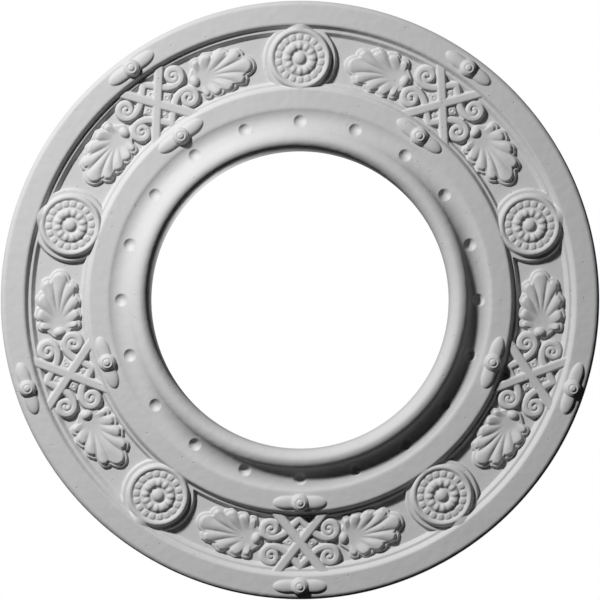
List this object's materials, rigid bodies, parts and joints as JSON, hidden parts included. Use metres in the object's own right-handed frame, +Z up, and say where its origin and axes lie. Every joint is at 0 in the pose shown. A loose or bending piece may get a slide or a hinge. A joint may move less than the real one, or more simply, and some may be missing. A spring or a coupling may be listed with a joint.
{
  "type": "ceiling rose",
  "caption": "Round moulded ceiling rose with a clear centre hole, a raised rolled lip, stepped rims and a sunk band of rosettes, palmettes and crossed lattices.",
  "frame": {"origin": "centre of the flat back, on the ceiling plane", "axes": "+Z up into the ceiling, face down along -Z, a rosette's middle on -Y"},
  "size_m": [0.2032, 0.2032, 0.0159],
  "materials": {
    "cast_white": "matt moulded off-white, unpainted, with fine pinholes"
  },
  "bodies": {
    "root": {"ceiling_rose": "cast_white"}
  },
  "joints": []
}
